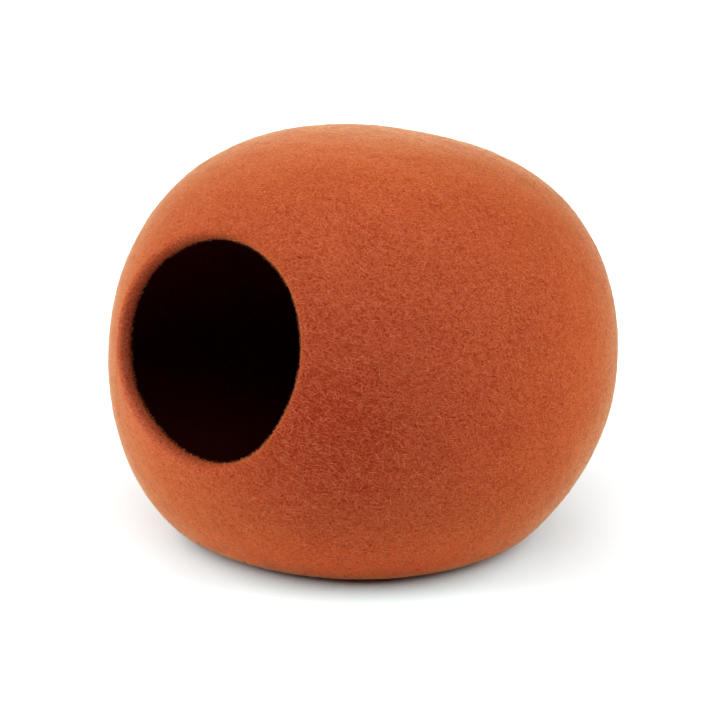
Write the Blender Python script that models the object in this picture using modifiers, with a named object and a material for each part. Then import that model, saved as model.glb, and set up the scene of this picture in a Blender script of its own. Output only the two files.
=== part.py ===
"""Felt cat cave: one seamless shell of thick wool felt, egg-shaped on a flat base, with a round doorway.

Metres, +Z up. The origin is at the middle of the base, on the floor, and the doorway faces -Y.
"""

import math
from collections import namedtuple

import bmesh
import bpy
from mathutils import Matrix, Vector

# Egg. The waist is its widest level, and each half bulges more squarely as its fullness rises over 2.
HALF_WIDTH = 0.230
WAIST_HEIGHT = 0.165
CROWN_RISE = 0.204
KEEL_DROP = 0.229
CROWN_FULLNESS = 2.3
KEEL_FULLNESS = 1.9

# Base. The keel is pressed flat on the floor, and this height of it rounds off the turn.
BASE_TURN = 0.018

# Hand-felted unevenness. Bearings run anticlockwise from +X, lifts up from the waist, both in degrees.
Swell = namedtuple("Swell", "place bearing lift spread rise")
SWELLS = (
    Swell("flat crown", bearing=81.0, lift=65.0, spread=26.0, rise=-0.0065),
    Swell("flat beside doorway", bearing=213.0, lift=23.0, spread=20.0, rise=-0.0040),
    Swell("heel under doorway", bearing=234.0, lift=-34.0, spread=22.0, rise=0.0095),
    Swell("hip", bearing=33.0, lift=-10.0, spread=28.0, rise=0.0025),
)

# Doorway. It looks forward and a little up, and its hand-cut edge is an uneven ring.
DOOR_TILT = math.radians(14.0)
DOOR_HALF_ANGLE = math.radians(26.4)
DOOR_OVAL = 0.030
DOOR_LOBE = -0.025
DOOR_SQUARENESS = 0.013
DOOR_SQUARE_TURN = math.radians(15.0)

# Felt. The wall thickens into the felted lip, whose two corners are rounded.
WALL = 0.010
LIP_WALL = 0.0125
LIP_REACH = math.radians(9.0)
LIP_ROUND = 0.0045
LIP_ROUND_STEPS = 3

# Facets of the shell, counted round the doorway and from the lip to the back.
FACETS_AROUND = 60
FACETS_BACK = 33
RING_CROWDING = 1.12

FELT_COLOUR = (0.479, 0.076, 0.023, 1.0)
FELT_ROUGHNESS = 0.95

WALL_GROUP = "wall"


def direction(bearing, lift):
    """The unit vector with this bearing and lift, in degrees."""
    level = math.cos(math.radians(lift))
    return Vector(
        (
            level * math.cos(math.radians(bearing)),
            level * math.sin(math.radians(bearing)),
            math.sin(math.radians(lift)),
        )
    )


def egg_radius(towards):
    """The distance from the middle of the waist to the plain egg, in this direction."""
    if towards.z > 0:
        half_height, fullness = CROWN_RISE, CROWN_FULLNESS
    else:
        half_height, fullness = KEEL_DROP, KEEL_FULLNESS
    level = math.hypot(towards.x, towards.y) / HALF_WIDTH
    upright = abs(towards.z) / half_height
    return (level**fullness + upright**fullness) ** (-1 / fullness)


def swelling(towards):
    """How far the hand-felted unevenness lifts the surface here."""
    total = 0.0
    for swell in SWELLS:
        nearness = (1 - towards.dot(direction(swell.bearing, swell.lift))) / math.radians(swell.spread) ** 2
        total += swell.rise * math.exp(-2 * nearness)
    return total


def pressed_flat(height):
    """The height above the floor once the keel is pressed on it, with a round turn into the flat."""
    if height <= -BASE_TURN:
        return 0.0
    if height >= BASE_TURN:
        return height
    return (height + BASE_TURN) ** 2 / (4 * BASE_TURN)


def felt_point(towards):
    """The point of the outer surface in this direction from the middle of the waist."""
    point = towards * (egg_radius(towards) + swelling(towards))
    point.z = pressed_flat(point.z + WAIST_HEIGHT)
    return point


def lip_angle(around):
    """The angle between the doorway's axis and its edge, at this angle round it from the +X side."""
    unevenness = (
        DOOR_OVAL * math.cos(2 * around)
        + DOOR_LOBE * math.cos(3 * around)
        + DOOR_SQUARENESS * math.cos(4 * (around - DOOR_SQUARE_TURN))
    )
    return DOOR_HALF_ANGLE * (1 + unevenness)


def wall_share(from_lip):
    """The wall's thickness as a share of the lip's, at this angle back from the lip."""
    thickening = math.exp(-((from_lip / LIP_REACH) ** 2))
    return (WALL + (LIP_WALL - WALL) * thickening) / LIP_WALL


def outer_surface():
    """The outer face of the felt, open at the doorway, from a ball whose pole lies on the doorway's axis.

    The ball's first ring becomes the edge of the doorway, and the others follow it to the back.
    """
    surface = bmesh.new()
    bmesh.ops.create_uvsphere(
        surface, u_segments=FACETS_AROUND, v_segments=FACETS_BACK + 1, radius=1
    )
    surface.verts.ensure_lookup_table()
    pole = max(surface.verts, key=lambda vertex: vertex.co.z)
    bmesh.ops.delete(surface, geom=[pole], context="VERTS")

    share_of_wall = surface.verts.layers.deform.verify()
    first_ring = math.pi / (FACETS_BACK + 1)
    door_turn = Matrix.Rotation(math.pi / 2 - DOOR_TILT, 3, "X")
    for vertex in surface.verts:
        around = math.atan2(vertex.co.y, vertex.co.x)
        back = (math.acos(max(-1.0, min(1.0, vertex.co.z))) - first_ring) / (math.pi - first_ring)
        lip = lip_angle(around)
        from_lip = (math.pi - lip) * max(0.0, back) ** RING_CROWDING
        angle = lip + from_lip
        on_ball = Vector(
            (math.sin(angle) * math.cos(around), math.sin(angle) * math.sin(around), math.cos(angle))
        )
        vertex.co = felt_point(door_turn @ on_ball)
        vertex[share_of_wall][0] = wall_share(from_lip)
    return surface


def stand_on_origin(surface):
    """Moves the surface so that the origin is under the middle of its bounding box."""
    for axis in (0, 1):
        along = [vertex.co[axis] for vertex in surface.verts]
        shift = -(min(along) + max(along)) / 2
        for vertex in surface.verts:
            vertex.co[axis] += shift


def felt_material():
    material = bpy.data.materials.new("rust_wool_felt")
    material.use_nodes = True
    shader = material.node_tree.nodes["Principled BSDF"]
    shader.inputs["Base Color"].default_value = FELT_COLOUR
    shader.inputs["Roughness"].default_value = FELT_ROUGHNESS
    shader.inputs["Metallic"].default_value = 0.0
    return material


def felt_shell(collection):
    """The shell: its outer surface given a wall, with the two corners of the lip rounded."""
    surface = outer_surface()
    stand_on_origin(surface)
    mesh = bpy.data.meshes.new("felt_shell")
    surface.to_mesh(mesh)
    surface.free()
    mesh.materials.append(felt_material())
    mesh.shade_smooth()

    shell = bpy.data.objects.new("felt_shell", mesh)
    collection.objects.link(shell)
    shell.vertex_groups.new(name=WALL_GROUP)

    wall = shell.modifiers.new("Wall", "SOLIDIFY")
    wall.thickness = LIP_WALL
    wall.offset = -1
    wall.use_even_offset = True
    wall.vertex_group = WALL_GROUP

    lip = shell.modifiers.new("Rounded lip", "BEVEL")
    lip.limit_method = "ANGLE"
    lip.angle_limit = math.radians(50)
    lip.width = LIP_ROUND
    lip.segments = LIP_ROUND_STEPS
    return shell


def main():
    for old in list(bpy.data.objects):
        bpy.data.objects.remove(old, do_unlink=True)
    parts = bpy.data.collections.new("felt_cat_cave")
    bpy.context.scene.collection.children.link(parts)
    felt_shell(parts)


main()
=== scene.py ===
"""Felt cat cave: a seamless egg of thick wool felt with a round doorway, on a pale studio floor.

Metres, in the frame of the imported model: +Z up, the base on the floor, the doorway facing -Y.
"""

import math

import bpy
import numpy as np
from bpy.props import FloatProperty, FloatVectorProperty, IntProperty, PointerProperty
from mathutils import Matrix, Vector
from mathutils.kdtree import KDTree


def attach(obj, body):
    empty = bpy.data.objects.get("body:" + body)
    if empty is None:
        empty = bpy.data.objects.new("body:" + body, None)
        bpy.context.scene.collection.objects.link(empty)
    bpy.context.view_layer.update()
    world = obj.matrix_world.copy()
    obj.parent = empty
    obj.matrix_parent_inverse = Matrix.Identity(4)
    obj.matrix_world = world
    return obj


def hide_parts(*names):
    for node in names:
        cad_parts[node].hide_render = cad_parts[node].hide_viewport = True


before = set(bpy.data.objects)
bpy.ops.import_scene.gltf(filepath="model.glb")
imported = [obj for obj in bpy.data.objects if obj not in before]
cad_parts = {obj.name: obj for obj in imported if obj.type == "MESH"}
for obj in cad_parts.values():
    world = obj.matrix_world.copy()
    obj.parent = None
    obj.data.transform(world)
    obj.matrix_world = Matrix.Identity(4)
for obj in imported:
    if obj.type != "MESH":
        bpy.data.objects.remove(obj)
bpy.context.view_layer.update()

bl_info = {
    "name": "Felt cat cave",
    "version": (1, 0, 0),
    "blender": (4, 5, 0),
    "location": "3D View > Sidebar > Cat cave",
    "description": "Makes a seamless felt cat cave with its wool nap, and a studio for it",
    "category": "Add Mesh",
}

BODY = "root"
CAD_NODE = "felt_shell"
SHELL = "felt_den"

# The egg's middle, moved so that its bounding box stands centred on the origin.
EGG_CENTRE = (-0.00034, -0.00260, 0.0)
WAIST_HEIGHT = 0.165

# Hand-felted swells of the egg: place, bearing from +X and lift from the waist in degrees, spread
# in degrees, rise in metres.
SWELLS = (
    ("Flat crown", 81.0, 65.0, 26.0, -0.0065),
    ("Flat beside doorway", 213.0, 23.0, 20.0, -0.0040),
    ("Heel under doorway", 234.0, -34.0, 22.0, 0.0095),
    ("Hip", 33.0, -10.0, 28.0, 0.0025),
)

# Broad patches of painted shade or, below zero, of painted light: a core shadow between the side
# softboxes and a paler glow beside the doorway. Bearing, lift, spread, and how much darker.
PAINTED_SHADE_PATCHES = (
    (-55.7, -2.7, 21.6, 1.0),
    (-9.6, -7.7, 26.8, 0.28),
    (-111.0, 0.0, 24.0, -0.72),
)

# The doorway looks along -Y and this many degrees up.
DOOR_BEARING = -90.0
DOOR_TILT = 14.0

COLUMNS = 240
RINGS = 168
LIP_GAP = math.radians(1.6)  # from the lip to the first ring, with room for the rounded corner
LIP_ROUND = 0.0045
LIP_ROUND_STEPS = 4
SHARPEST_BEND = math.radians(50)  # the felt bends less than this all over but at the lip's corners

# Material numbers of the shell's faces while it is made.
OUTER_FACE, INNER_FACE, LIP_FACE = 0, 1, 2

# The map that the felt and its fibres are baked through: two strips of outer face, two of inner
# face and two of lip, from the bottom of the image to the top.
BAKE_MAP = "OFBake"
OUTER_STRIP = 0.395
INNER_STRIP = 0.085
STRIP_GAP = 0.004
LIP_STRIPS = 2.1  # a little over two, so that the upper one ends short of the image's edge

# The felt's own strands, in the shader: they run along the six long axes of an icosahedron.
GOLDEN = (1 + math.sqrt(5)) / 2
STRAND_AXES = (
    (0, 1, GOLDEN),
    (0, -1, GOLDEN),
    (1, GOLDEN, 0),
    (-1, GOLDEN, 0),
    (GOLDEN, 0, 1),
    (GOLDEN, 0, -1),
)
STRAND_LENGTH = 0.006
STRAND_WIDTH = 0.0009
STRAND_EDGE = (0.58, 0.74)  # the noise's values between which a strand fades in
STRAND_TWIST = 0.002
TWIST_SIZE = 0.004

# The wool was laid round this axis, so its strands and lumps are flatter along it. Bearing, lift.
LAY_AXIS = (81.5, 63.4)
LAY_FLATNESS = 1.6
LAY_PULL = 0.9  # how firmly loose fibres keep to it, against 1 for chance

# How broad the matted wool's lumps are.
CLOUD_SIZE = 0.045
MOTTLE_SIZE = 0.008
# Pits: dark specks, partly the wool's own darker tone and partly painted shade in the felt's
# hollows.
PIT_SIZE = 0.0028
PIT_EDGE = (0.56, 0.70)  # the noise's values between which a pit fades in
DEN_PIT_SIZE = 0.0030
BUMP_DEPTH = 0.0009

# How dull the felt is: 0 is brushed nap and 1 is matted wool. Strands, mottling and clouds brush
# it up by these shares, and pits, partly painted shade, and patches of painted shade dull it.
DULLNESS = 0.565
PIT_DULLS = 0.5
STRAND_BRIGHTENS = 0.54
MOTTLE_BRIGHTENS = 0.5
CLOUD_BRIGHTENS = 0.3
# How far the patches of painted shade dull the felt and darken its colour.
PAINTED_PATCH_DULLS = 0.15
PAINTED_PATCH_DEEPENS = 0.3

# Low on the cave a painted red glow stands in for light bounced up from the floor. The wool
# there is also more flecked, and it blooms less.
LOW_REACH = 0.10
LOW_FLECKING = 0.6
LOW_PAINTED_GLOW = 0.8
LOW_PIT_PAINTED_GLOW = 0.35
LOW_BLOOM_LOSS = 0.4

# The soft nap, and the bloom, which is how the nap pales at a glancing angle.
NAP_SOFTNESS = 0.5
PIT_SOFTNESS = 0.3
PIT_SHEEN = 0.82
BLOOM_SOFTNESS = 0.4
BLOOM_TIGHTNESS = 3.3
BRUSHED_BLOOM = 1.35
MATTED_BLOOM = 0.5

# Distances back from the lip are in radians, as seen from the egg's middle.
BLOOM_STARTS = (0.006, 0.026)
LIP_BLOOM = 0.35  # the share of the bloom that the rubbed lip keeps
# The lip takes painted shade on its way into the den, by the inward mark.
LIP_FADE = 0.7  # below 1, so the lip deepens late on its way into the den

# Where fibres grow: near the lip, and off the base and the inside.
LIP_CLEARANCE = 0.045
LIP_LENGTH = 0.4  # of a fibre's full length, at the lip
LIP_GROWTH = 0.02
BARE_BASE = 0.004
MOST_INWARD = 0.3
TONE_PATCH_SIZE = 0.05

# Loose fibres. Each kind changes these of the fibre tree's inputs.
FIBRE_KINDS = {
    "nap_pale": {"Tone": 0.92, "Tone spread": 0.08},
    "nap_bright": {"Tone": 0.75, "Tone spread": 0.20},
    "nap_short": {
        "Density share": 2.0,
        "Tone": 0.85,
        "Tone spread": 0.15,
        "Longest": 0.006,
        "Sway": 0.0015,
        "Sway size": 0.004,
        "Bends": 1,
    },
    "fuzz": {
        "Density share": 2.0,
        "Tone": 0.95,
        "Tone spread": 0.05,
        "Shortest": 0.001,
        "Longest": 0.0025,
        "Least stand": 0.4,
        "Most stand": 1.3,
        "Sway": 0.0006,
        "Sway size": 0.003,
        "Girth": 0.00008,
        "Bends": 1,
    },
    "doorway_stubble": {
        "Density share": 8.0,
        "Tone": 0.75,
        "Tone spread": 0.25,
        "At the lip": 1.0,
        "Shortest": 0.001,
        "Longest": 0.003,
        "Least stand": 0.2,
        "Most stand": 1.4,
        "Sway": 0.0008,
        "Sway size": 0.003,
        "Bends": 1,
    },
    "doorway_wisps": {
        "Density share": 3.5,
        "Tone": 0.60,
        "Tone spread": 0.25,
        "At the lip": 1.0,
        "Shortest": 0.0015,
        "Longest": 0.0045,
        "Least stand": 0.1,
        "Most stand": 1.0,
        "Sway": 0.0018,
        "Sway size": 0.003,
        "Girth": 0.00005,
        "Bends": 3,
    },
}

# Softboxes far off: setting, bearing from the camera's side, anticlockwise from above, height and
# width as seen from the cave, all in degrees.
SOFTBOXES = (
    ("left", -90.0, 35.0, 50.0),
    ("low_left", -90.0, 8.0, 40.0),
    ("right", 90.0, 35.0, 50.0),
    ("front", 0.0, 60.0, 50.0),
    ("top", 0.0, 90.0, 70.0),
    ("back", 200.0, 12.0, 40.0),
)

# Close to the cave the floor is painted a cooler white, which cancels the red light that the cave
# bounces onto it, and this fades outwards.
FLOOR_SIZE = 16.0
COOL_FADE = 0.085
COOL_STRENGTH = 7.6
TOOTH_SIZE = 0.002

PHOTO_SIDE = 720
PHOTO_FOCUS = 2521.0  # pixels
CAMERA_PLACE = (1.4337, -1.6545, 0.8665)
CAMERA_TARGET = (-0.0016, -0.0036, 0.1558)
FILM_WIDTH = 36.0  # millimetres
UP = Vector((0, 0, 1))


# -------------------------------------------------------------------------------------------------
# Node trees


def pick(sockets, key):
    """The socket with this number, identifier or name."""
    if isinstance(key, int):
        return sockets[key]
    return next((s for s in sockets if s.identifier == key), None) or sockets[key]


class Socket:
    """One output of a node. Arithmetic on it adds Math nodes."""

    def __init__(self, graph, socket):
        self.graph = graph
        self.socket = socket

    def output(self, key):
        """Another output of the same node."""
        return Socket(self.graph, pick(self.socket.node.outputs, key))

    def __add__(self, other):
        return self.graph.math("ADD", self, other)

    def __sub__(self, other):
        return self.graph.math("SUBTRACT", self, other)

    def __mul__(self, other):
        return self.graph.math("MULTIPLY", self, other)

    def __truediv__(self, other):
        return self.graph.math("DIVIDE", self, other)

    def __pow__(self, other):
        return self.graph.math("POWER", self, other)

    def __gt__(self, other):
        return self.graph.math("GREATER_THAN", self, other)

    def __lt__(self, other):
        return self.graph.math("LESS_THAN", self, other)

    def __rsub__(self, other):
        return self.graph.math("SUBTRACT", other, self)

    def __rtruediv__(self, other):
        return self.graph.math("DIVIDE", other, self)

    def __neg__(self):
        return self * -1.0

    __radd__ = __add__
    __rmul__ = __mul__


class Graph:
    """Adds nodes to one shader or geometry tree, which it empties first."""

    def __init__(self, tree):
        self.tree = tree
        tree.nodes.clear()

    def node(self, kind, settings=None, sockets=None, output=0):
        """Adds a node: its settings first, then the value or link of each of its sockets."""
        node = self.tree.nodes.new(kind)
        for name, value in (settings or {}).items():
            if name == "stops":
                ramp = node.color_ramp.elements
                while len(ramp) < len(value):
                    ramp.new(1.0)
                for element, (place, colour) in zip(ramp, value):
                    element.position = place
                    element.color = opaque(colour)
            else:
                setattr(node, name, value)
        for key, value in (sockets or {}).items():
            socket = pick(node.inputs, key)
            if isinstance(value, Socket):
                self.tree.links.new(value.socket, socket)
            else:
                socket.default_value = value
        return Socket(self, pick(node.outputs, output)) if node.outputs else None

    def inputs(self, offered):
        """Adds the tree's named inputs, each with its type and default, and returns sockets."""
        for name, (kind, default) in offered.items():
            socket = self.tree.interface.new_socket(name=name, in_out="INPUT", socket_type=kind)
            if default is not None:
                socket.default_value = default
        entry = self.tree.nodes.new("NodeGroupInput")
        return {name: Socket(self, entry.outputs[name]) for name in offered}

    def math(self, operation, *terms):
        return self.node("ShaderNodeMath", {"operation": operation}, dict(enumerate(terms)))

    def clamped(self, value, low=0.0, high=1.0):
        return self.math("MINIMUM", self.math("MAXIMUM", value, low), high)

    def smooth(self, value, low, high):
        """0 below low, 1 above high and a smooth step between."""
        return self.node(
            "ShaderNodeMapRange",
            {"interpolation_type": "SMOOTHSTEP"},
            {"Value": value, "From Min": low, "From Max": high},
        )

    def vector(self, operation, *terms, output="Vector"):
        return self.node(
            "ShaderNodeVectorMath", {"operation": operation}, dict(enumerate(terms)), output
        )

    def scaled(self, vector, size):
        return self.node(
            "ShaderNodeVectorMath", {"operation": "SCALE"}, {"Vector": vector, "Scale": size}
        )

    def split(self, vector):
        """The vector's three parts."""
        part = self.node("ShaderNodeSeparateXYZ", {}, {0: vector})
        return part, part.output("Y"), part.output("Z")

    def joined(self, x, y, z=0.0):
        """The vector with these three parts."""
        return self.node("ShaderNodeCombineXYZ", {}, {"X": x, "Y": y, "Z": z})

    def noise(self, vector, size, detail=2.0, roughness=0.5, distortion=0.0, output="Fac"):
        """Noise whose lumps are about this many metres across."""
        return self.node(
            "ShaderNodeTexNoise",
            {"noise_dimensions": "3D"},
            {
                "Vector": vector,
                "Scale": 1.0 / size,
                "Detail": detail,
                "Roughness": roughness,
                "Distortion": distortion,
            },
            output,
        )

    def wander(self, vector, size):
        """A vector that wanders round zero, over lumps of about this size."""
        colour = self.noise(vector, size, 1.0, output="Color")
        return self.vector("SUBTRACT", colour, (0.5, 0.5, 0.5))


def opaque(colour):
    return (*colour, 1.0)


def towards(bearing, lift):
    """The unit vector with this bearing and lift, in degrees."""
    bearing, lift = math.radians(bearing), math.radians(lift)
    return (
        math.cos(lift) * math.cos(bearing),
        math.cos(lift) * math.sin(bearing),
        math.sin(lift),
    )


def behind_lip(graph, from_lip):
    """The share of the bloom that shows: little at the lip, which is rubbed, and all behind it."""
    return graph.smooth(from_lip, *BLOOM_STARTS) * (1 - LIP_BLOOM) + LIP_BLOOM


# -------------------------------------------------------------------------------------------------
# Geometry trees


def new_geometry_tree(name):
    return Graph(bpy.data.node_groups.new(name, "GeometryNodeTree"))


def end_tree(graph, geometry, material, where=True):
    """Ends a geometry tree in Realize Instances and Set Material."""
    graph.tree.interface.new_socket(
        name="Geometry", in_out="OUTPUT", socket_type="NodeSocketGeometry"
    )
    geometry = graph.node("GeometryNodeRealizeInstances", {}, {"Geometry": geometry})
    geometry = graph.node(
        "GeometryNodeSetMaterial",
        {},
        {"Geometry": geometry, "Selection": where, "Material": material},
    )
    graph.node("NodeGroupOutput", {}, {"Geometry": geometry})
    return graph.tree


def stored(graph, geometry, name, value, kind="FLOAT", domain="POINT"):
    return graph.node(
        "GeometryNodeStoreNamedAttribute",
        {"data_type": kind, "domain": domain},
        {"Geometry": geometry, "Name": name, "Value": value},
    )


def named(graph, name, kind="FLOAT"):
    return graph.node("GeometryNodeInputNamedAttribute", {"data_type": kind}, {"Name": name})


def position(graph):
    return graph.node("GeometryNodeInputPosition")


def moved(graph, geometry, **how):
    """The geometry at a new Position, or moved by an Offset."""
    return graph.node("GeometryNodeSetPosition", {}, {"Geometry": geometry, **how})


def lip_angle(graph, given, around):
    """The angle between the doorway's axis and its edge, at this angle round it."""
    return given["Doorway half angle"] * (
        1
        + given["Doorway oval"] * graph.math("COSINE", around * 2)
        + given["Doorway lobe"] * graph.math("COSINE", around * 3)
        + given["Doorway squareness"]
        * graph.math("COSINE", (around - given["Doorway square turn"]) * 4)
    )


def wall_share(graph, given, from_lip):
    """The wall's thickness as a share of the lip's, at this angle back from the lip."""
    thickening = graph.math("EXPONENT", -((from_lip / given["Lip reach"]) ** 2))
    thickness = given["Wall"] + (given["Lip wall"] - given["Wall"]) * thickening
    return thickness / given["Lip wall"]


def egg_radius(graph, given, facing):
    """The distance from the waist's middle to the egg with its swells, in this direction."""
    x, y, rise = graph.split(facing)
    upper = rise > 0.0
    half_height = given["Keel drop"] + upper * (given["Crown rise"] - given["Keel drop"])
    fullness = given["Keel fullness"] + upper * (given["Crown fullness"] - given["Keel fullness"])
    level = (x * x + y * y) ** 0.5 / given["Half width"]
    upright = graph.math("ABSOLUTE", rise) / half_height
    radius = (level**fullness + upright**fullness) ** (-1 / fullness)
    for place, *_ in SWELLS:
        meets = graph.vector("DOT_PRODUCT", facing, given[place + " towards"], output="Value")
        nearness = (1 - meets) / given[place + " spread"] ** 2
        radius = radius + given[place + " rise"] * graph.math("EXPONENT", nearness * -2)
    return radius


def pressed_flat(graph, height, turn):
    """The height above the floor once the keel is pressed on it, with a round turn to the flat."""
    in_turn = graph.clamped(height, -turn, turn) + turn
    return in_turn * in_turn / (turn * 4) + graph.math("MAXIMUM", height - turn, 0.0)


def egg_tree(sizes):
    """The outer face of the shell: a ball opened at the doorway and pressed into the felted egg."""
    graph = new_geometry_tree("felted_egg")
    number, whole, vector = "NodeSocketFloat", "NodeSocketInt", "NodeSocketVector"
    set_by_user = (
        "Half width",
        "Waist height",
        "Crown rise",
        "Keel drop",
        "Doorway tilt",
        "Doorway half angle",
        "Wall",
        "Lip wall",
    )
    offered = {name: (number, sizes[name]) for name in set_by_user} | {
        "Crown fullness": (number, 2.3),
        "Keel fullness": (number, 1.9),
        "Base turn": (number, 0.018),
        "Doorway oval": (number, 0.030),
        "Doorway lobe": (number, -0.025),
        "Doorway squareness": (number, 0.013),
        "Doorway square turn": (number, math.radians(15.0)),
        "Lip gap": (number, LIP_GAP),
        "Lip reach": (number, 0.157),
        "Columns": (whole, COLUMNS),
        "Rings": (whole, RINGS),
        "Centre": (vector, EGG_CENTRE),
        "Felt": ("NodeSocketMaterial", None),
    }
    for place, bearing, lift, spread, rise in SWELLS:
        offered[place + " towards"] = (vector, towards(bearing, lift))
        offered[place + " spread"] = (number, math.radians(spread))
        offered[place + " rise"] = (number, rise)
    given = graph.inputs(offered)

    grid = graph.node(
        "GeometryNodeMeshGrid",
        {},
        {
            "Size X": 1.0,
            "Size Y": 1.0,
            "Vertices X": given["Columns"] + 1,
            "Vertices Y": given["Rings"] + 1,
        },
    )
    across_grid, along_grid, _ = graph.split(position(graph))
    turn = across_grid + 0.5
    back = along_grid + 0.5
    around = turn * math.tau

    # The map starts as turn and depth, and place_on_map lays it out.
    sheet = stored(graph, grid, BAKE_MAP, graph.joined(turn, back), "FLOAT2", "CORNER")

    lip = lip_angle(graph, given, around)
    ring = back * given["Rings"]
    behind_gap = graph.math("MAXIMUM", ring - 1, 0.0) / (given["Rings"] - 1)
    from_lip = graph.math("MINIMUM", ring, 1.0) * given["Lip gap"] + behind_gap * (
        math.pi - lip - given["Lip gap"]
    )
    sheet = stored(graph, sheet, "wall", wall_share(graph, given, from_lip))
    sheet = stored(graph, sheet, "from_lip", from_lip)

    angle = lip + from_lip
    off_axis = graph.math("SINE", angle)
    on_ball = graph.joined(
        off_axis * graph.math("COSINE", around),
        off_axis * graph.math("SINE", around),
        graph.math("COSINE", angle),
    )
    facing = graph.node(
        "ShaderNodeVectorRotate",
        {"rotation_type": "X_AXIS"},
        {"Vector": on_ball, "Angle": math.pi / 2 - given["Doorway tilt"]},
    )
    x, y, rise = graph.split(graph.scaled(facing, egg_radius(graph, given, facing)))
    height = pressed_flat(graph, rise + given["Waist height"], given["Base turn"])
    point = graph.vector("ADD", graph.joined(x, y, height), given["Centre"])
    sheet = moved(graph, sheet, Position=point)
    sheet = graph.node("GeometryNodeMergeByDistance", {}, {"Geometry": sheet, "Distance": 0.00001})
    sheet = graph.node("GeometryNodeFlipFaces", {}, {"Mesh": sheet})
    return end_tree(graph, sheet, given["Felt"])


def unevenness_tree(sizes):
    """Moves a closed felt mesh in and out a little, as matted wool does, but not under the base."""
    graph = new_geometry_tree("felt_unevenness")
    number = "NodeSocketFloat"
    given = graph.inputs(
        {
            "Mesh": ("NodeSocketGeometry", None),
            "Swell height": (number, sizes["Swell height"]),
            "Swell size": (number, 0.045),
            "Lump height": (number, sizes["Lump height"]),
            "Lump size": (number, 0.012),
            "Flat up to": (number, 0.0005),
            "Uneven from": (number, 0.016),
            "Inner felt": ("NodeSocketMaterial", None),
        }
    )
    place = position(graph)
    height = graph.split(place)[2]
    off_floor = graph.smooth(height, given["Flat up to"], given["Uneven from"])
    swell = graph.noise(graph.scaled(place, 1 / given["Swell size"]), 1.0, 1.0) - 0.5
    lump = graph.noise(graph.scaled(place, 1 / given["Lump size"]), 1.0, 2.0) - 0.5
    out = (swell * given["Swell height"] + lump * given["Lump height"]) * 2 * off_floor
    offset = graph.scaled(graph.node("GeometryNodeInputNormal"), out)
    mesh = moved(graph, given["Mesh"], Offset=offset)
    inner = graph.math("COMPARE", graph.node("GeometryNodeInputMaterialIndex"), INNER_FACE, 0.1)
    return end_tree(graph, mesh, given["Inner felt"], inner)


def spindle(graph, bends):
    """One fibre: a ball with three sides, drawn out to a spindle along +Z from 0 to 1."""
    fibre = graph.node(
        "GeometryNodeMeshUVSphere", {}, {"Segments": 3, "Rings": bends + 1, "Radius": 1.0}
    )
    x, y, z = graph.split(position(graph))
    along = z * 0.5 + 0.5
    fibre = stored(graph, fibre, "side", graph.math("ARCTAN2", y, x) / math.tau)
    fibre = stored(graph, fibre, "along", along)
    return moved(graph, fibre, Position=graph.joined(x, y, along))


def swayed(graph, fibres, sway, size):
    """The fibres, each swaying with its neighbours along the felt and not off it."""
    offset = graph.wander(graph.scaled(position(graph), 1 / size), 1.0)
    off_felt = named(graph, "off_felt", "FLOAT_VECTOR")
    offset = graph.vector("SUBTRACT", offset, graph.vector("PROJECT", offset, off_felt))
    return moved(graph, fibres, Offset=graph.scaled(offset, sway * 2))


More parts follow.
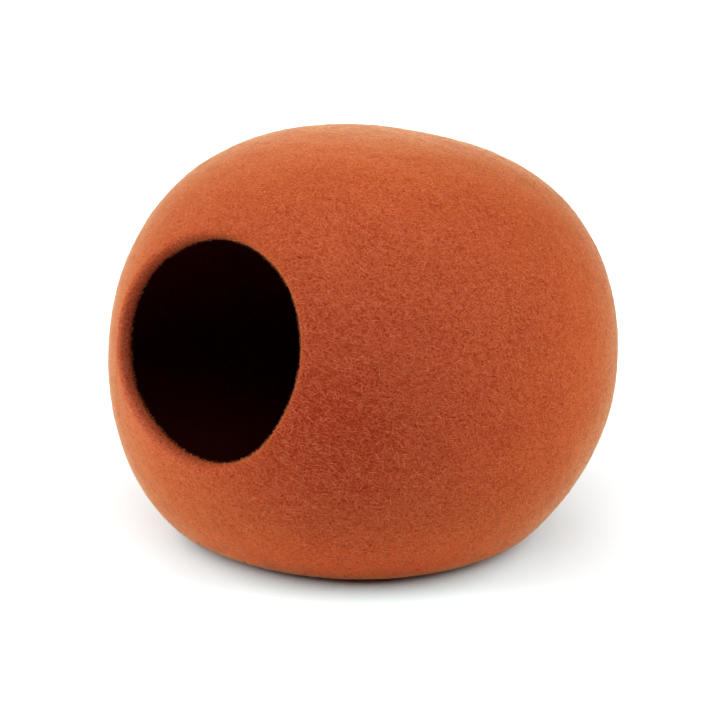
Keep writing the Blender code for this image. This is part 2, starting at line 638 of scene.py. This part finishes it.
def fibre_tree():
    """Wool fibres that lie on a felt sheet or stand off it, each a thin closed spindle."""
    graph = new_geometry_tree("wool_fibres")
    number = "NodeSocketFloat"
    given = graph.inputs(
        {
            "Sheet": ("NodeSocketObject", None),
            "Fibres per square metre": (number, 30000.0),
            "Density share": (number, 1.0),
            "At the lip": (number, 0.0),
            "Shortest": (number, 0.003),
            "Longest": (number, 0.010),
            "Girth": (number, 0.0002),
            "Least stand": (number, 0.0),
            "Most stand": (number, 0.03),
            "Sway": (number, 0.0025),
            "Sway size": (number, 0.006),
            "Tone": (number, 0.5),
            "Tone spread": (number, 0.2),
            "Bends": ("NodeSocketInt", 2),
            "Seed": ("NodeSocketInt", 1),
            "Wool": ("NodeSocketMaterial", None),
        }
    )
    sheet = graph.node("GeometryNodeObjectInfo", {}, {"Object": given["Sheet"]}, "Geometry")
    from_lip = named(graph, "from_lip")

    # Fibres grow all over the outer face but the base, or only at the lip.
    height = graph.split(position(graph))[2]
    outside = (named(graph, "inward") < MOST_INWARD) * graph.smooth(height, 0.0, BARE_BASE)
    lip = graph.math("EXPONENT", -((from_lip / LIP_GROWTH) ** 2))
    grows = outside + (lip - outside) * given["At the lip"]
    points = graph.node(
        "GeometryNodeDistributePointsOnFaces",
        {"distribute_method": "RANDOM"},
        {
            "Mesh": sheet,
            "Density": grows * given["Fibres per square metre"] * given["Density share"],
            "Seed": given["Seed"],
        },
    )
    normal = points.output("Normal")

    def chance(number, low, high):
        """A random number for each fibre."""
        return graph.node(
            "FunctionNodeRandomValue",
            {"data_type": "FLOAT"},
            {"Min_001": low, "Max_001": high, "Seed": given["Seed"] * 16 + number},
            "Value_001",
        )

    # A fibre that lies across the lip would spike out of it, so those close to it are short.
    clear = graph.smooth(from_lip, 0.0, LIP_CLEARANCE)
    clear = clear + (1 - clear) * given["At the lip"]
    kept = clear * (1 - LIP_LENGTH) + LIP_LENGTH
    length = chance(1, given["Shortest"], given["Longest"]) * kept
    stand = chance(2, given["Least stand"], given["Most stand"])
    aim = graph.joined(*(chance(part, -1.0, 1.0) for part in (3, 4, 5)))
    aim = graph.vector("ADD", aim, tuple(part * LAY_PULL for part in towards(*LAY_AXIS)))
    lying = graph.vector("NORMALIZE", graph.vector("CROSS_PRODUCT", normal, aim))
    heading = graph.vector(
        "ADD",
        graph.scaled(lying, graph.math("COSINE", stand)),
        graph.scaled(normal, graph.math("SINE", stand)),
    )
    shade = graph.noise(position(graph), TONE_PATCH_SIZE) - 0.5
    tone = graph.clamped(
        given["Tone"] + (chance(6, -1.0, 1.0) + shade * 2.0) * given["Tone spread"], 0.02, 0.98
    )
    girth = given["Girth"] * chance(7, 0.6, 1.3)
    points = stored(graph, points, "tone", tone)
    points = stored(graph, points, "off_felt", normal, "FLOAT_VECTOR")
    points = stored(graph, points, "blooms", behind_lip(graph, from_lip))
    fibres = graph.node(
        "GeometryNodeInstanceOnPoints",
        {},
        {
            "Points": points,
            "Instance": spindle(graph, given["Bends"]),
            "Rotation": graph.node(
                "FunctionNodeAlignRotationToVector", {"axis": "Z"}, {"Vector": heading}
            ),
            "Scale": graph.joined(girth, girth, length),
        },
    )
    fibres = graph.node("GeometryNodeRealizeInstances", {}, {"Geometry": fibres})
    fibres = swayed(graph, fibres, given["Sway"], given["Sway size"])

    # On the bake map a fibre is a narrow upright strip, whose place across is its tone.
    strip = graph.joined(
        named(graph, "tone") * 0.94 + 0.03 + named(graph, "side") * 0.02,
        named(graph, "along") * 0.98 + 0.01,
    )
    fibres = stored(graph, fibres, BAKE_MAP, strip, "FLOAT2", "CORNER")
    return end_tree(graph, fibres, given["Wool"])


# -------------------------------------------------------------------------------------------------
# Materials


def new_material(name):
    material = bpy.data.materials.new(name)
    material.use_nodes = True
    return material, Graph(material.node_tree)


def mixed(graph, share, low, high, way="MIX"):
    """From one colour to another as share goes from 0 to 1, by this way of blending."""
    return graph.node(
        "ShaderNodeMix",
        {"data_type": "RGBA", "blend_type": way},
        {"Factor_Float": share, "A_Color": low, "B_Color": high},
        "Result_Color",
    )


def between(graph, share, low, high):
    """From one surface to another as share goes from 0 to 1."""
    return graph.node("ShaderNodeMixShader", {}, {0: share, 1: low, 2: high})


def marked(graph, name, output="Fac"):
    """What the mesh carries under this name."""
    return graph.node("ShaderNodeAttribute", {"attribute_name": name}, output=output)


def raised(graph, height, strength):
    return graph.node(
        "ShaderNodeBump", {}, {"Strength": strength, "Distance": BUMP_DEPTH, "Height": height}
    )


def wool(graph, colour, bump=None, nap=None, roughness=0.95, gloss=0.05):
    """A matt wool surface. Its nap, where it has one, is given as weight, softness and tint."""
    sockets = {"Base Color": colour, "Roughness": roughness, "Specular IOR Level": gloss}
    if bump is not None:
        sockets["Normal"] = bump
    if nap is not None:
        weight, softness, tint = nap
        sockets["Sheen Weight"] = weight
        sockets["Sheen Roughness"] = softness
        sockets["Sheen Tint"] = opaque(tint)
    return graph.node("ShaderNodeBsdfPrincipled", {}, sockets)


def strand_pattern(graph, place):
    """1 on short fibres that cross each other every way and 0 between them."""
    twist = graph.scaled(graph.wander(place, TWIST_SIZE), STRAND_TWIST * 2)
    spot = graph.vector("ADD", place, twist)
    pattern = 0.0
    for number, axis in enumerate(STRAND_AXES):
        along = graph.node(
            "ShaderNodeMapping",
            {"vector_type": "TEXTURE"},
            {
                "Vector": spot,
                "Location": (number * 0.37, number * 0.11, 0.0),
                "Rotation": tuple(Vector(axis).to_track_quat("X", "Z").to_euler()),
                "Scale": (STRAND_LENGTH, STRAND_WIDTH, STRAND_WIDTH),
            },
        )
        strand = graph.smooth(graph.noise(along, 1.0, 0.0), *STRAND_EDGE)
        pattern = graph.math("MAXIMUM", strand, pattern)
    return pattern


def painted_patch_shade(graph, place):
    """How much painted shade the broad patches put here; below zero, painted light."""
    middle = (*EGG_CENTRE[:2], WAIST_HEIGHT)
    facing = graph.vector("NORMALIZE", graph.vector("SUBTRACT", place, middle))
    total = 0.0
    for bearing, lift, spread, painted_darkening in PAINTED_SHADE_PATCHES:
        meets = graph.vector("DOT_PRODUCT", facing, towards(bearing, lift), output="Value")
        nearness = (meets - 1) * (2 / math.radians(spread) ** 2)
        total = graph.math("EXPONENT", nearness) * painted_darkening + total
    return total


def felt_material(settings):
    """Matted wool: pale strands over dull pits, partly painted shade, and a nap that blooms when
    glancing.
    """
    material, graph = new_material("rust_wool_felt")
    place = graph.node("ShaderNodeTexCoord", output="Object")
    laid = graph.node(
        "ShaderNodeMapping",
        {"vector_type": "TEXTURE"},
        {
            "Vector": place,
            "Rotation": tuple(Vector(towards(*LAY_AXIS)).to_track_quat("Z", "Y").to_euler()),
            "Scale": (1.0, 1.0, 1.0 / LAY_FLATNESS),
        },
    )
    cloud = graph.noise(laid, CLOUD_SIZE, 3.0, 0.55) - 0.5
    mottle = graph.noise(laid, MOTTLE_SIZE, 2.0, 0.6) - 0.5
    pits = graph.smooth(graph.noise(laid, PIT_SIZE, 2.0, 0.6, 0.4), *PIT_EDGE)
    strand = strand_pattern(graph, laid)
    # Broad patches of painted shade, and below zero of painted light.
    painted_patch = painted_patch_shade(graph, place)
    low = 1 - graph.smooth(graph.split(place)[2], 0.0, LOW_REACH)
    fleck = pits * PIT_DULLS - strand * STRAND_BRIGHTENS - mottle * MOTTLE_BRIGHTENS
    dull = graph.clamped(
        DULLNESS
        + fleck * (1 + low * LOW_FLECKING)
        - cloud * CLOUD_BRIGHTENS
        + painted_patch * PAINTED_PATCH_DULLS
    )
    bump = raised(graph, strand * 0.5 + mottle * 0.3 - pits * 0.3, 0.4)

    deep, rust, pale, painted_floor_glow, edge = (
        opaque(getattr(settings, name)) for name in ("deep", "rust", "pale", "painted_floor_glow", "edge")
    )
    # Where the patches put painted light, the face pales.
    face = mixed(graph, strand * 0.5 + graph.clamped(-painted_patch) * 0.5, rust, pale)
    # Painted glow of the floor's red bounced light, low on the cave.
    face = mixed(graph, low * low * LOW_PAINTED_GLOW, face, painted_floor_glow, "LIGHTEN")
    # Where the patches put painted shade, the brushed wool darkens towards deep.
    brushed = wool(
        graph,
        mixed(graph, graph.clamped(painted_patch) * PAINTED_PATCH_DEEPENS, face, deep),
        bump,
        (settings.sheen, NAP_SOFTNESS, settings.nap),
        roughness=0.94,
        gloss=0.1,
    )
    # The pits: partly darker wool, partly painted shade of the hollows, with painted floor glow low
    # down.
    matted = wool(
        graph,
        mixed(graph, low * low * LOW_PIT_PAINTED_GLOW, deep, painted_floor_glow, "LIGHTEN"),
        bump,
        (settings.sheen * PIT_SHEEN, PIT_SOFTNESS, settings.shaded_nap),
    )
    bloom = wool(graph, rust, bump, (settings.sheen, BLOOM_SOFTNESS, settings.bloom))
    # Painted shade where the lip turns into the den: a dark colour without sheen.
    painted_lip_shade = wool(graph, edge, bump)
    glancing = graph.node("ShaderNodeLayerWeight", {}, {"Blend": 0.5}, "Facing")
    blooms = (
        glancing**BLOOM_TIGHTNESS
        * (BRUSHED_BLOOM - dull * (BRUSHED_BLOOM - MATTED_BLOOM))
        * (1 - low * LOW_BLOOM_LOSS)
        * behind_lip(graph, marked(graph, "from_lip"))
    )
    surface = between(graph, dull, brushed, matted)
    surface = between(graph, blooms, surface, bloom)
    # Towards the den the surface turns to the painted lip shade.
    surface = between(graph, marked(graph, "inward"), surface, painted_lip_shade)
    graph.node("ShaderNodeOutputMaterial", {}, {"Surface": surface})
    return material


def den_material(settings):
    """The felt's inner face, darkened with the painted shade of the den, and mottled."""
    material, graph = new_material("inner_wool_felt")
    place = graph.node("ShaderNodeTexCoord", output="Object")
    mottle = graph.noise(place, MOTTLE_SIZE, 2.0, 0.6)
    pits = graph.noise(place, DEN_PIT_SIZE, 2.0, 0.6, 0.4)
    den = Vector(settings.den)
    shade = graph.clamped(0.5 + (mottle - 0.5) * 0.8 + (pits - 0.5) * 1.2)
    colour = mixed(graph, shade, opaque(den * 0.75), opaque(den * 1.25))
    surface = wool(graph, colour, raised(graph, mottle * 0.5 + pits * 0.6, 1.0), gloss=0.1)
    graph.node("ShaderNodeOutputMaterial", {}, {"Surface": surface})
    return material


def fibre_material(settings):
    """Loose wool fibre, deep rust to pale apricot by its tone, paler at the tip, with painted sheen
    when glancing.
    """
    material, graph = new_material("loose_wool_fibre")
    colour = graph.node(
        "ShaderNodeValToRGB",
        {"stops": ((0.0, settings.deep), (0.5, settings.rust), (1.0, settings.stray))},
        {"Fac": graph.clamped(marked(graph, "tone") + (marked(graph, "along") - 0.5) * 0.12)},
    )
    # At a glancing angle a fibre pales to a painted sheen colour, besides its own sheen.
    plain, bloomed = (
        wool(graph, base, None, (settings.sheen, NAP_SOFTNESS, tint), roughness=0.8, gloss=0.1)
        for base, tint in ((colour, settings.nap), (opaque(settings.painted_fibre_sheen), settings.bloom))
    )
    glancing = graph.node(
        "ShaderNodeLayerWeight",
        {},
        {"Blend": 0.5, "Normal": marked(graph, "off_felt", "Vector")},
        "Facing",
    )
    blooms = glancing**BLOOM_TIGHTNESS * marked(graph, "blooms")
    surface = between(graph, blooms, plain, bloomed)
    graph.node("ShaderNodeOutputMaterial", {}, {"Surface": surface})
    return material


def floor_material(settings):
    """Matt white studio paper with a very faint tooth, painted cooler near the cave against its red
    light.
    """
    material, graph = new_material("white_studio_paper")
    place = graph.node("ShaderNodeTexCoord", output="Object")
    tooth = graph.noise(place, TOOTH_SIZE, 2.0)
    away = graph.vector("LENGTH", place, output="Value")
    near = graph.clamped(graph.math("EXPONENT", away / -COOL_FADE) * COOL_STRENGTH)
    surface = graph.node(
        "ShaderNodeBsdfPrincipled",
        {},
        {
            "Base Color": mixed(graph, near, opaque(settings.floor), opaque(settings.painted_cool)),
            "Roughness": 0.9 + tooth * 0.05,
            "Specular IOR Level": 0.2,
        },
    )
    graph.node("ShaderNodeOutputMaterial", {}, {"Surface": surface})
    return material


# -------------------------------------------------------------------------------------------------
# Settings


def length_setting(name, description, default):
    return FloatProperty(name=name, description=description, default=default, unit="LENGTH")


def angle_setting(name, description, degrees):
    return FloatProperty(
        name=name, description=description, default=math.radians(degrees), subtype="ANGLE"
    )


def colour_setting(name, description, default):
    return FloatVectorProperty(
        name=name, description=description, default=default, subtype="COLOR", min=0.0, max=1.0
    )


def strength_setting(name, description, default):
    return FloatProperty(name=name, description=description, default=default, min=0.0)


class FeltShellSettings(bpy.types.PropertyGroup):
    half_width: length_setting("Half width", "From the middle to the waist", 0.230)
    waist_height: length_setting("Waist height", "The widest level", WAIST_HEIGHT)
    crown_rise: length_setting("Crown rise", "From the waist up to the crown", 0.204)
    keel_drop: length_setting(
        "Keel drop", "From the waist down to where the keel would end if it weren't pressed", 0.229
    )
    wall: length_setting("Wall", "Thickness of the felt", 0.010)
    lip_wall: length_setting("Lip wall", "Thickness of the felted lip", 0.0125)
    door_tilt: angle_setting("Doorway tilt", "How far the doorway looks up", DOOR_TILT)
    door_half_angle: angle_setting(
        "Doorway half angle", "From the doorway's axis to its edge, seen from the middle", 26.4
    )
    lump_height: length_setting(
        "Lump height", "How far small lumps of matted wool stand out", 0.0003
    )
    swell_height: length_setting(
        "Swell height", "How far broad uneven swells stand out", 0.0008
    )


class WoolSettings(bpy.types.PropertyGroup):
    # Deep: partly darker wool, partly painted shade in the pits; painted-shade patches and dark
    # fibres use it.
    deep: colour_setting("Deep", "Wool in the pits of the felt", (0.180, 0.003, 0.0003))
    rust: colour_setting("Rust", "The main colour of the wool", (0.325, 0.049, 0.0060))
    pale: colour_setting("Pale", "Strands on the top of the felt", (0.465, 0.122, 0.0700))
    # Ruddy: painted red glow of light bounced from the floor, low on the cave.
    painted_floor_glow: colour_setting("Ruddy", "Wool low on the cave, near the floor", (0.700, 0.003, 0.0))
    stray: colour_setting("Stray", "The palest loose fibres", (0.620, 0.175, 0.0960))
    # Frost: painted sheen, the pale colour of loose fibres at a glancing angle.
    painted_fibre_sheen: colour_setting(
        "Frost", "Loose fibres where the felt is seen at a glancing angle", (0.700, 0.320, 0.1800)
    )
    nap: colour_setting("Nap", "Tint of the soft nap", (1.0, 0.24, 0.020))
    shaded_nap: colour_setting(
        "Shaded nap", "Tint of the soft nap in the pits of the felt", (1.0, 0.23, 0.004)
    )
    bloom: colour_setting(
        "Bloom", "Tint of the pale bloom of the nap at a glancing angle", (1.0, 0.82, 0.490)
    )
    # Edge: painted shade on the lip where it turns into the den.
    edge: colour_setting("Edge", "The lip where it turns into the den", (0.170, 0.021, 0.0060))
    # Den: painted shade, the inner felt darkened to the near black of the den.
    den: colour_setting("Den", "The inner face, in the deep shade", (0.110, 0.010, 0.0030))
    sheen: strength_setting("Sheen", "How much the nap pales at a glancing angle", 1.0)
    girth: length_setting("Fibre girth", "Half the width of a tuft", 0.00016)
    density: IntProperty(
        name="Fibres", description="Fibres of each kind per square metre", default=30000
    )
    seed: IntProperty(name="Seed", description="Starts the random places of the fibres", default=7)


class StudioSettings(bpy.types.PropertyGroup):
    floor: colour_setting("Floor", "Colour of the studio floor", (0.970, 0.970, 0.970))
    # Cool floor: a painted cool tint that cancels the cave's red bounced light.
    painted_cool: colour_setting(
        "Cool floor", "Colour of the studio floor close to the cave", (0.750, 0.980, 0.998)
    )
    sky: strength_setting("Sky", "Strength of the even white light", 0.05)
    left: strength_setting("Left", "Strength of the left softbox", 2.84)
    low_left: strength_setting("Low left", "Strength of the low left softbox", 0.57)
    right: strength_setting("Right", "Strength of the right softbox", 2.87)
    front: strength_setting("Front", "Strength of the front softbox", 1.11)
    top: strength_setting("Top", "Strength of the overhead softbox", 0.66)
    back: strength_setting("Back", "Strength of the low back softbox", 1.35)


def by_name(settings):
    """The settings' values under the names that they have in the panel and in the trees."""
    properties = settings.bl_rna.properties
    return {properties[key].name: getattr(settings, key) for key in type(settings).__annotations__}


# -------------------------------------------------------------------------------------------------
# Meshes


def new_piece(name):
    piece = bpy.data.objects.new(name, bpy.data.meshes.new(name))
    bpy.context.scene.collection.objects.link(piece)
    return piece


def add_rule(piece, tree, values):
    """Gives the piece a geometry tree with these values for its named inputs."""
    modifier = piece.modifiers.new(tree.name, "NODES")
    modifier.node_group = tree
    for item in tree.interface.items_tree:
        if item.in_out == "INPUT" and item.name in values:
            modifier[item.identifier] = values[item.name]


def read(collection, key, kind, width=1):
    """One property of everything in a mesh's collection, as an array."""
    values = np.empty(len(collection) * width, kind)
    collection.foreach_get(key, values)
    return values if width == 1 else values.reshape(-1, width)


def settled(piece):
    """Turns what the piece's modifiers give into its own plain mesh, without empty slots."""
    depsgraph = bpy.context.evaluated_depsgraph_get()
    depsgraph.update()
    mesh = bpy.data.meshes.new_from_object(
        piece.evaluated_get(depsgraph), preserve_all_data_layers=True, depsgraph=depsgraph
    )
    if not mesh.polygons:
        raise RuntimeError(f"{piece.name} came out empty")
    kinds = read(mesh.polygons, "material_index", np.int32)
    filled = [material is not None for material in mesh.materials]
    mesh.polygons.foreach_set("material_index", (np.cumsum(filled) - 1)[kinds].astype(np.int32))
    for empty in reversed([number for number, there in enumerate(filled) if not there]):
        mesh.materials.pop(index=empty)
    piece.modifiers.clear()
    before, piece.data = piece.data, mesh
    bpy.data.meshes.remove(before)
    mesh.name = piece.name


def distances(mesh, points, others):
    """How far each of these points of a mesh is from the nearest of the others."""
    tree = KDTree(len(others))
    for number in others.tolist():
        tree.insert(mesh.vertices[number].co, number)
    tree.balance()
    return np.array([tree.find(mesh.vertices[number].co)[2] for number in points.tolist()])


def give_wall(shell, thickness):
    """Gives the outer face its wall, by the share stored on each point, and rounds the lip."""
    group = shell.vertex_groups.new(name="wall_share")
    shares = read(shell.data.attributes["wall"].data, "value", np.float32)
    for index, share in enumerate(shares.tolist()):
        group.add([index], share, "REPLACE")
    wall = shell.modifiers.new("Wall", "SOLIDIFY")
    wall.thickness = thickness
    wall.offset = -1
    wall.use_even_offset = True
    wall.vertex_group = group.name
    wall.material_offset = INNER_FACE
    wall.material_offset_rim = LIP_FACE
    lip = shell.modifiers.new("Rounded lip", "BEVEL")
    lip.limit_method = "ANGLE"
    lip.angle_limit = SHARPEST_BEND
    lip.width = LIP_ROUND
    lip.segments = LIP_ROUND_STEPS


def place_on_map(mesh):
    """Gives each face its own part of the bake map, and marks what faces the inside of the den.

    The faces still carry the outer face's turn and depth as their map, and their material number
    says whether they are outer face, inner face or lip.
    """
    layer = mesh.uv_layers[BAKE_MAP]
    turn, back = read(layer.uv, "vector", np.float32, 2).T
    counts = read(mesh.polygons, "loop_total", np.int32)
    kinds = read(mesh.polygons, "material_index", np.int32)
    kind = np.repeat(kinds, counts)
    first = np.r_[0, np.cumsum(counts)[:-1]]
    half = np.repeat(np.add.reduceat(turn, first) / counts > 0.5, counts)
    across = (turn - 0.5 * half) * 2 * (1 - 2 * STRIP_GAP) + STRIP_GAP

    corner = read(mesh.loops, "vertex_index", np.int32)
    spots = read(mesh.vertices, "co", np.float32, 3)[corner]
    out = spots @ np.array(towards(DOOR_BEARING, DOOR_TILT))
    lip = kind == LIP_FACE
    out = (out - out[lip].min()) / np.ptp(out[lip])

    outer = OUTER_STRIP - STRIP_GAP
    inner = INNER_STRIP - STRIP_GAP
    lip_low = 2 * OUTER_STRIP + 2 * INNER_STRIP
    lip_high = 1.0 - lip_low - STRIP_GAP
    up = np.select(
        [kind == OUTER_FACE, kind == INNER_FACE],
        [half * OUTER_STRIP + back * outer, 2 * OUTER_STRIP + half * INNER_STRIP + back * inner],
        lip_low + (half + out) * lip_high / LIP_STRIPS,
    )
    layer.uv.foreach_set("vector", np.stack([across, up], 1).astype(np.float32).ravel())

    outer_points, inner_points, lip_points = (
        np.unique(corner[kind == face]) for face in (OUTER_FACE, INNER_FACE, LIP_FACE)
    )
    # Inward marks the inside; on the lip it sets the share of painted shade towards the den.
    inward = np.zeros(len(mesh.vertices), np.float32)
    inward[inner_points] = 1.0
    from_outer = distances(mesh, lip_points, outer_points)
    from_inner = distances(mesh, lip_points, inner_points)
    inward[lip_points] = 1 - (from_inner / (from_outer + from_inner)) ** LIP_FADE
    mark = mesh.attributes.new("inward", "FLOAT", "POINT")
    mark.data.foreach_set("value", inward)
    mesh.polygons.foreach_set("material_index", (kinds == INNER_FACE).astype(np.int32))
    while len(mesh.materials) > 2:
        mesh.materials.pop()
    mesh.update()


# -------------------------------------------------------------------------------------------------
# Operators


class CATCAVE_OT_felt_shell(bpy.types.Operator):
    """Makes the seamless felt shell with its doorway and felted lip"""

    bl_idname = "cat_cave.felt_shell"
    bl_label = "Felt shell"

    def execute(self, context):
        shape = context.scene.cat_cave_shell
        sizes = by_name(shape)
        felt = felt_material(context.scene.cat_cave_wool)
        inner_felt = den_material(context.scene.cat_cave_wool)
        shell = new_piece(SHELL)
        add_rule(shell, egg_tree(sizes), sizes | {"Felt": felt})
        settled(shell)

        shell.data.materials.append(inner_felt)
        shell.data.materials.append(felt)
        give_wall(shell, shape.lip_wall)
        add_rule(shell, unevenness_tree(sizes), sizes | {"Inner felt": inner_felt})
        settled(shell)
        shell.vertex_groups.clear()
        place_on_map(shell.data)
        shell.data.shade_smooth()
        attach(shell, BODY)
        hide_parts(CAD_NODE)
        return {"FINISHED"}


class CATCAVE_OT_wool_fibres(bpy.types.Operator):
    """Lays loose wool fibres on the felt and round the doorway"""

    bl_idname = "cat_cave.wool_fibres"
    bl_label = "Wool fibres"

    def execute(self, context):
        settings = context.scene.cat_cave_wool
        shell = bpy.data.objects[SHELL]
        tree = fibre_tree()
        material = fibre_material(settings)
        for number, (name, kind) in enumerate(FIBRE_KINDS.items()):
            piece = new_piece(name)
            values = {
                "Sheet": shell,
                "Fibres per square metre": float(settings.density),
                "Girth": settings.girth,
                "Seed": settings.seed + number,
                "Wool": material,
            }
            add_rule(piece, tree, values | kind)
            settled(piece)
            piece.data.shade_smooth()
            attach(piece, BODY)
        return {"FINISHED"}


def add_softbox(name, towards_light, width, strength):
    """Adds a soft light so far off that it lights the whole floor evenly."""
    lamp = bpy.data.lights.new("softbox_" + name, "SUN")
    lamp.angle = math.radians(width)
    lamp.energy = strength
    light = bpy.data.objects.new("softbox_" + name, lamp)
    light.rotation_euler = towards_light.to_track_quat("Z", "Y").to_euler()
    bpy.context.scene.collection.objects.link(light)


def add_world(sky):
    """An even white light of this strength, behind which the camera sees plain white."""
    world = bpy.data.worlds.new("white_studio")
    world.use_nodes = True
    graph = Graph(world.node_tree)
    seen = graph.node("ShaderNodeLightPath", output="Is Camera Ray")
    light = graph.node(
        "ShaderNodeBackground",
        {},
        {"Color": (1.0, 1.0, 1.0, 1.0), "Strength": sky + seen * (1.0 - sky)},
    )
    graph.node("ShaderNodeOutputWorld", {}, {"Surface": light})
    bpy.context.scene.world = world


def add_camera(place, sight):
    """Adds a camera here that looks this way, with the photograph's lens."""
    lens = bpy.data.cameras.new("photo_camera")
    lens.sensor_width = FILM_WIDTH
    lens.lens = PHOTO_FOCUS * FILM_WIDTH / PHOTO_SIDE
    lens.clip_start = 0.05
    lens.clip_end = 60.0
    camera = bpy.data.objects.new("photo_camera", lens)
    camera.location = place
    camera.rotation_euler = sight.to_track_quat("-Z", "Y").to_euler()
    bpy.context.scene.collection.objects.link(camera)
    bpy.context.scene.camera = camera


class CATCAVE_OT_studio(bpy.types.Operator):
    """Makes the pale floor, the soft lights and the camera"""

    bl_idname = "cat_cave.studio"
    bl_label = "Studio"

    def execute(self, context):
        studio = context.scene.cat_cave_studio
        bpy.ops.mesh.primitive_plane_add(size=FLOOR_SIZE)
        floor = context.object
        floor.name = "studio_floor"
        floor.data.materials.append(floor_material(studio))
        add_world(studio.sky)

        camera_at = Vector(CAMERA_PLACE)
        sight = (Vector(CAMERA_TARGET) - camera_at).normalized()
        rightward = sight.cross(UP).normalized()
        forward = UP.cross(rightward)

        for name, bearing, height, width in SOFTBOXES:
            bearing, height = math.radians(bearing), math.radians(height)
            level = rightward * math.sin(bearing) - forward * math.cos(bearing)
            towards_light = level * math.cos(height) + UP * math.sin(height)
            add_softbox(name, towards_light, width, getattr(studio, name))
        add_camera(camera_at, sight)
        context.scene.view_settings.view_transform = "Standard"
        return {"FINISHED"}


class CATCAVE_PT_panel(bpy.types.Panel):
    """Lists the steps that make the cat cave and its studio"""

    bl_label = "Cat cave"
    bl_idname = "CATCAVE_PT_panel"
    bl_space_type = "VIEW_3D"
    bl_region_type = "UI"
    bl_category = "Cat cave"

    def draw(self, context):
        for group, operator in (
            ("cat_cave_shell", "cat_cave.felt_shell"),
            ("cat_cave_wool", "cat_cave.wool_fibres"),
            ("cat_cave_studio", "cat_cave.studio"),
        ):
            box = self.layout.box()
            settings = getattr(context.scene, group)
            for name in type(settings).__annotations__:
                box.prop(settings, name)
            box.operator(operator)


SETTINGS = {
    "cat_cave_shell": FeltShellSettings,
    "cat_cave_wool": WoolSettings,
    "cat_cave_studio": StudioSettings,
}
OPERATORS = (CATCAVE_OT_felt_shell, CATCAVE_OT_wool_fibres, CATCAVE_OT_studio)


def register():
    for made in (*SETTINGS.values(), *OPERATORS, CATCAVE_PT_panel):
        bpy.utils.register_class(made)
    for name, group in SETTINGS.items():
        setattr(bpy.types.Scene, name, PointerProperty(type=group))


def unregister():
    for name in SETTINGS:
        delattr(bpy.types.Scene, name)
    for made in (CATCAVE_PT_panel, *reversed(OPERATORS), *reversed(SETTINGS.values())):
        bpy.utils.unregister_class(made)


def main():
    register()
    bpy.ops.cat_cave.felt_shell()
    bpy.ops.cat_cave.wool_fibres()
    bpy.ops.cat_cave.studio()


if __name__ == "__main__":
    main()
